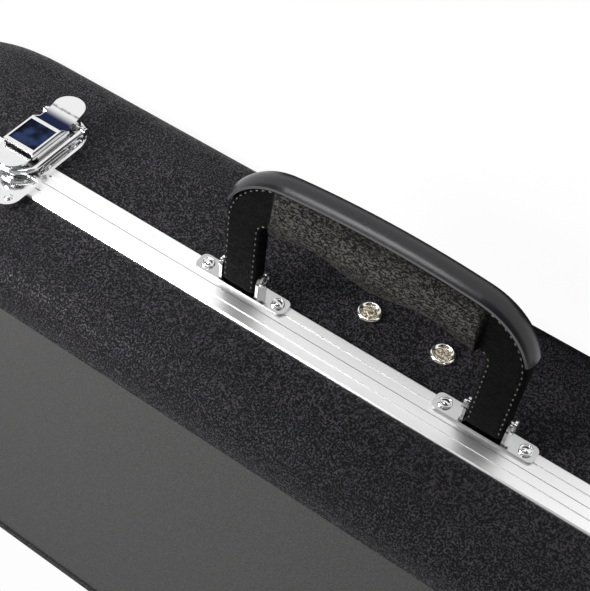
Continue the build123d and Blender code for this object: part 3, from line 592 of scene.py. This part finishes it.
# Stitches: waxed thread, each stitch a millimetre and a half long, in a row just inside each edge of the legs
# and on both faces. They stop where the padding starts.
stitch_pitch, stitch_length, stitch_width, stitch_edge = 3.7, 1.5, 0.36, 1.9
stitch_sunk, stitch_flat, stitch_clear, row_end = 0.12, 0.8, 2.0, 0.28
probe, shortest, row_points = 0.2, 0.05, 400
stitch_rings, stitch_sides, stitch_tip = 5, 6, 0.15
thread = Finish("waxed_thread", Roughness=0.6)
thread.set("Base Color", thread.mix(thread.noise(0.8), grey(0.07, 0.05), grey(0.17, 0.08)))
thread.bump(thread.noise(0.3), 0.03)


def stitch_rows():
    """Places and directions of the stitches, evenly spaced by length along each edge line."""
    fine = np.linspace(0.0, row_end, row_points)
    spots, ways = [], []
    for edge_side in (1.0, -1.0):
        for part in (fine, 1.0 - fine):
            outer, inner = handle_edges(part)
            middle, reach = (outer + inner) / 2, (outer - inner) / 2
            width = np.linalg.norm(reach, axis=1, keepdims=True)
            line = middle + edge_side * reach * (1 - stitch_edge / width)
            steps = np.concatenate([[0], np.cumsum(np.linalg.norm(np.diff(line, axis=0), axis=1))])
            at = np.arange(stitch_pitch, steps[-1], stitch_pitch)
            spot = np.stack([np.interp(at, steps, line[:, k]) for k in (0, 1)], -1)
            ahead = np.stack([np.interp(at + probe, steps, line[:, k]) for k in (0, 1)], -1)
            on_leg = np.abs(spot[:, 0]) > grip_half + stitch_clear
            keep = on_leg & (np.linalg.norm(ahead - spot, axis=1) > shortest)
            spots.append(spot[keep])
            ways.append((ahead - spot)[keep])
    spots, ways = np.concatenate(spots), np.concatenate(ways)
    return spots, ways / np.linalg.norm(ways, axis=1, keepdims=True)


def stitch_points():
    """Each stitch is a small closed spindle, its radius a half cosine along it over a blunt tip's share. One
    set lies on each face of the leg."""
    spots, ways = stitch_rows()
    x, y = spots.T[:, None, :, None, None]
    way_x, way_y = ways.T[:, None, :, None, None]
    face_side = np.array([-1.0, 1.0])[:, None, None, None]
    along = np.linspace(-0.5, 0.5, stitch_rings)[:, None]
    around = np.linspace(0, 2 * np.pi, stitch_sides, endpoint=False)
    girth = stitch_width * (stitch_tip + (1 - stitch_tip) * np.cos(along * np.pi))
    sideways, outwards = girth * np.cos(around), girth * np.sin(around) * stitch_flat
    ahead = along * stitch_length
    level = pin_row + face_side * (leg_thick - stitch_sunk)
    points = np.broadcast_arrays(x + way_x * ahead - way_y * sideways,
                                 front_face - (y + way_y * ahead + way_x * sideways), level + outwards)
    return np.stack(points, -1).reshape(-1, stitch_rings, stitch_sides, 3)


stitches = piece("handle_stitches", tubes("handle_stitches", stitch_points()), thread, "handle")


# The bead over the handle's outside: a smooth moulded strip with a soft gloss. The core shows only as a
# sliver at the legs' feet, in plain zinc-plated steel.
smear_size, ripple_size, ripple_depth = 14.0, 3.0, 0.015
bead_rough, smear_rough = 0.20, 0.10
bead = Finish("bead_gloss", Specular_IOR_Level=0.5)
smear = bead.noise(smear_size, 3.0)
bead.set("Base Color", bead.mix(smear, (0.003, 0.003, 0.0045, 1.0), (0.007, 0.0065, 0.009, 1.0)))
bead.set("Roughness", bead_rough + smear * smear_rough)
dress(bead.bump(bead.noise(ripple_size, 2.0), ripple_depth), "handle_bead")
zinc = Finish("zinc_plate", Metallic=1.0)
bloom = zinc.noise(4.0, 3.0)
zinc.set("Base Color", zinc.mix(bloom, grey(0.42, 0.01), grey(0.58)))
zinc.set("Roughness", 0.34 + bloom * 0.14)
dress(zinc.bump(bloom, 0.02), "handle_core")


# Inside, behind the rivets: a plain plywood board that spreads their load over the shell. Its grain runs along
# the case.
ply = Finish("plywood", Roughness=0.7)
rings = ply.noise(6.0, 4.0, 0.6, stretch=(0.12, 1.0, 1.0))
ply.set("Base Color", ply.mix(rings, (0.30, 0.19, 0.10, 1.0), (0.55, 0.40, 0.24, 1.0)))
dress(ply.bump(rings, 0.05), "reinforcement_board")


# Feet: moulded black rubber with a dull skin, two on each half at the hinge side. A little dust lightens it
# unevenly.
rubber = Finish("foot_rubber")
dust = rubber.noise(1.2, 3.0)
rubber.set("Base Color", rubber.mix(dust, grey(0.014), grey(0.026)))
rubber.set("Roughness", 0.62 + dust * 0.2)
dress(rubber.bump(dust, 0.04), "body_feet", "lid_feet")


# The lining: foam blocks covered in black plush, rounded over at every edge, and swollen pads for the
# cradle and the box's flap. The blocks are cut foam, so their edges are eased rather than blown up.
pressure, cloth_quality, cloth_frames = 4.0, 6, 20
plush = Finish("black_plush", Sheen_Weight=0.5, Sheen_Roughness=0.4)
nap = plush.noise(0.5, 3.0, 0.7)
lie = plush.noise(28.0, 3.0)
plush.set("Base Color", plush.mix(nap * 0.6 + lie * 0.4, grey(0.014), grey(0.045, 0.01)))
plush.set("Roughness", 0.82 + nap * 0.12)
plush.bump(nap, 0.25)


def work_object(mesh):
    """An object that is only worked on and then removed by settled."""
    work = bpy.data.objects.new("work", mesh)
    scene.collection.objects.link(work)
    return work


def settled(work, name):
    """The mesh of a working object with its modifiers applied; the working object is removed."""
    graph = bpy.context.evaluated_depsgraph_get()
    mesh = bpy.data.meshes.new_from_object(work.evaluated_get(graph))
    mesh.name = name
    bpy.data.objects.remove(work)
    return mesh


def remeshed(node, voxel):
    """A merged copy of a CAD node's triangles with a modifier that remeshes it in voxels as one closed skin."""
    mesh = nodes[node].data.copy()
    merge(mesh, 1e-5, outward=False)
    mesh.materials.clear()
    work = work_object(mesh)
    remesh = work.modifiers.new("remesh", "REMESH")
    remesh.mode, remesh.voxel_size = "VOXEL", voxel * mm
    return work


def draw_in(work, shrink):
    """Moves the skin inwards by shrink millimetres, to leave a small gap."""
    inwards = work.modifiers.new("draw_in", "DISPLACE")
    inwards.strength, inwards.mid_level = -shrink * mm, 0.0


def padding(name, work, body, node):
    """The plush piece that a working object leaves, in place of its node."""
    made = piece(name, settled(work, name), plush, body)
    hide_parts(node)


def eased(node, name, body, voxel, rounds, shrink):
    """Foam: remeshed in voxels, its edges eased by smoothing, then drawn in."""
    work = remeshed(node, voxel)
    smooth = work.modifiers.new("smooth", "SMOOTH")
    smooth.factor, smooth.iterations = 0.5, rounds
    draw_in(work, shrink)
    padding(name, work, body, node)


def blown(base, name, swell):
    """Cloth under pressure with no gravity. No point moves by more than swell millimetres."""
    before = np.zeros(len(base.vertices) * 3, np.float32)
    base.vertices.foreach_get("co", before)
    pad = bpy.data.objects.new("pad", base)
    scene.collection.objects.link(pad)
    cloth = pad.modifiers.new("cloth", "CLOTH").settings
    cloth.use_pressure = True
    cloth.uniform_pressure_force = pressure
    cloth.effector_weights.gravity = 0.0
    cloth.quality = cloth_quality
    for number in range(1, cloth_frames + 1):
        scene.frame_set(number)
    swollen = settled(pad, name)
    after = np.zeros_like(before)
    swollen.vertices.foreach_get("co", after)
    move = (after - before).reshape(-1, 3)
    size = np.maximum(np.linalg.norm(move, axis=1, keepdims=True), 1e-9)
    move *= np.minimum(1.0, swell * mm / size)
    swollen.vertices.foreach_set("co", (before.reshape(-1, 3) + move).astype(np.float32).ravel())
    scene.frame_set(1)
    return swollen


def inflated(node, name, body, voxel, swell, shrink):
    work = remeshed(node, voxel)
    draw_in(work, shrink)
    base = settled(work, name)
    base = blown(base, name, swell)
    work = work_object(base)
    divide = work.modifiers.new("divide", "SUBSURF")
    divide.levels = divide.render_levels = 1
    padding(name, work, body, node)


eased("body_liner", "plush_body_lining", "body", 5.0, 6, 0.3)
eased("lid_liner", "plush_lid_lining", "lid", 5.0, 6, 0.3)
inflated("neck_cradle", "plush_neck_cradle", "body", 4.0, 2.0, 1.0)
inflated("accessory_flap", "plush_box_flap", "flap", 2.4, 1.2, 0.9)
dress(plush, "accessory_box")


# The flap's pull: a folded ribbon, woven, sewn to its free edge. It fills the solid tab's box and ripples a
# little from end to end.
weave_rate, weave_depth = 9000.0, 0.06
ribbon_rows, ribbon_steps, ribbon_gap, ribbon_inset, ribbon_ripple = 12, 24, 0.2, 0.15, 0.06
ribbon = Finish("woven_ribbon", Roughness=0.7)
x, y, _ = ribbon.split()
weave = (x * weave_rate).math("SINE") * (y * weave_rate).math("SINE")
ribbon.set("Base Color", ribbon.mix(weave * 0.5 + 0.5, grey(0.02), grey(0.05)))
ribbon.bump(weave, weave_depth)


def ribbon_points():
    """A flat rounded section carried along y; z adds one small sine ripple over the whole length."""
    low, high = (np.array(corner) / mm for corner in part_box("flap_tab"))
    middle, half = (low + high) / 2, (high - low) / 2
    share, angle = np.meshgrid(np.linspace(0, 1, ribbon_rows),
                               np.linspace(0, 2 * np.pi, ribbon_steps, endpoint=False), indexing="ij")
    ripple = ribbon_ripple * np.sin(share * np.pi * 2)
    x = middle[0] + (half[0] - ribbon_gap) * rounded(np.cos(angle), 0.2)
    y = low[1] + (high - low)[1] * share
    z = middle[2] + (half[2] - ribbon_inset) * rounded(np.sin(angle), 0.4) + ripple
    return np.stack([x, y, z], -1)


tab = piece("flap_ribbon", tubes("flap_ribbon", ribbon_points()[None]), ribbon, "flap")
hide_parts("flap_tab")
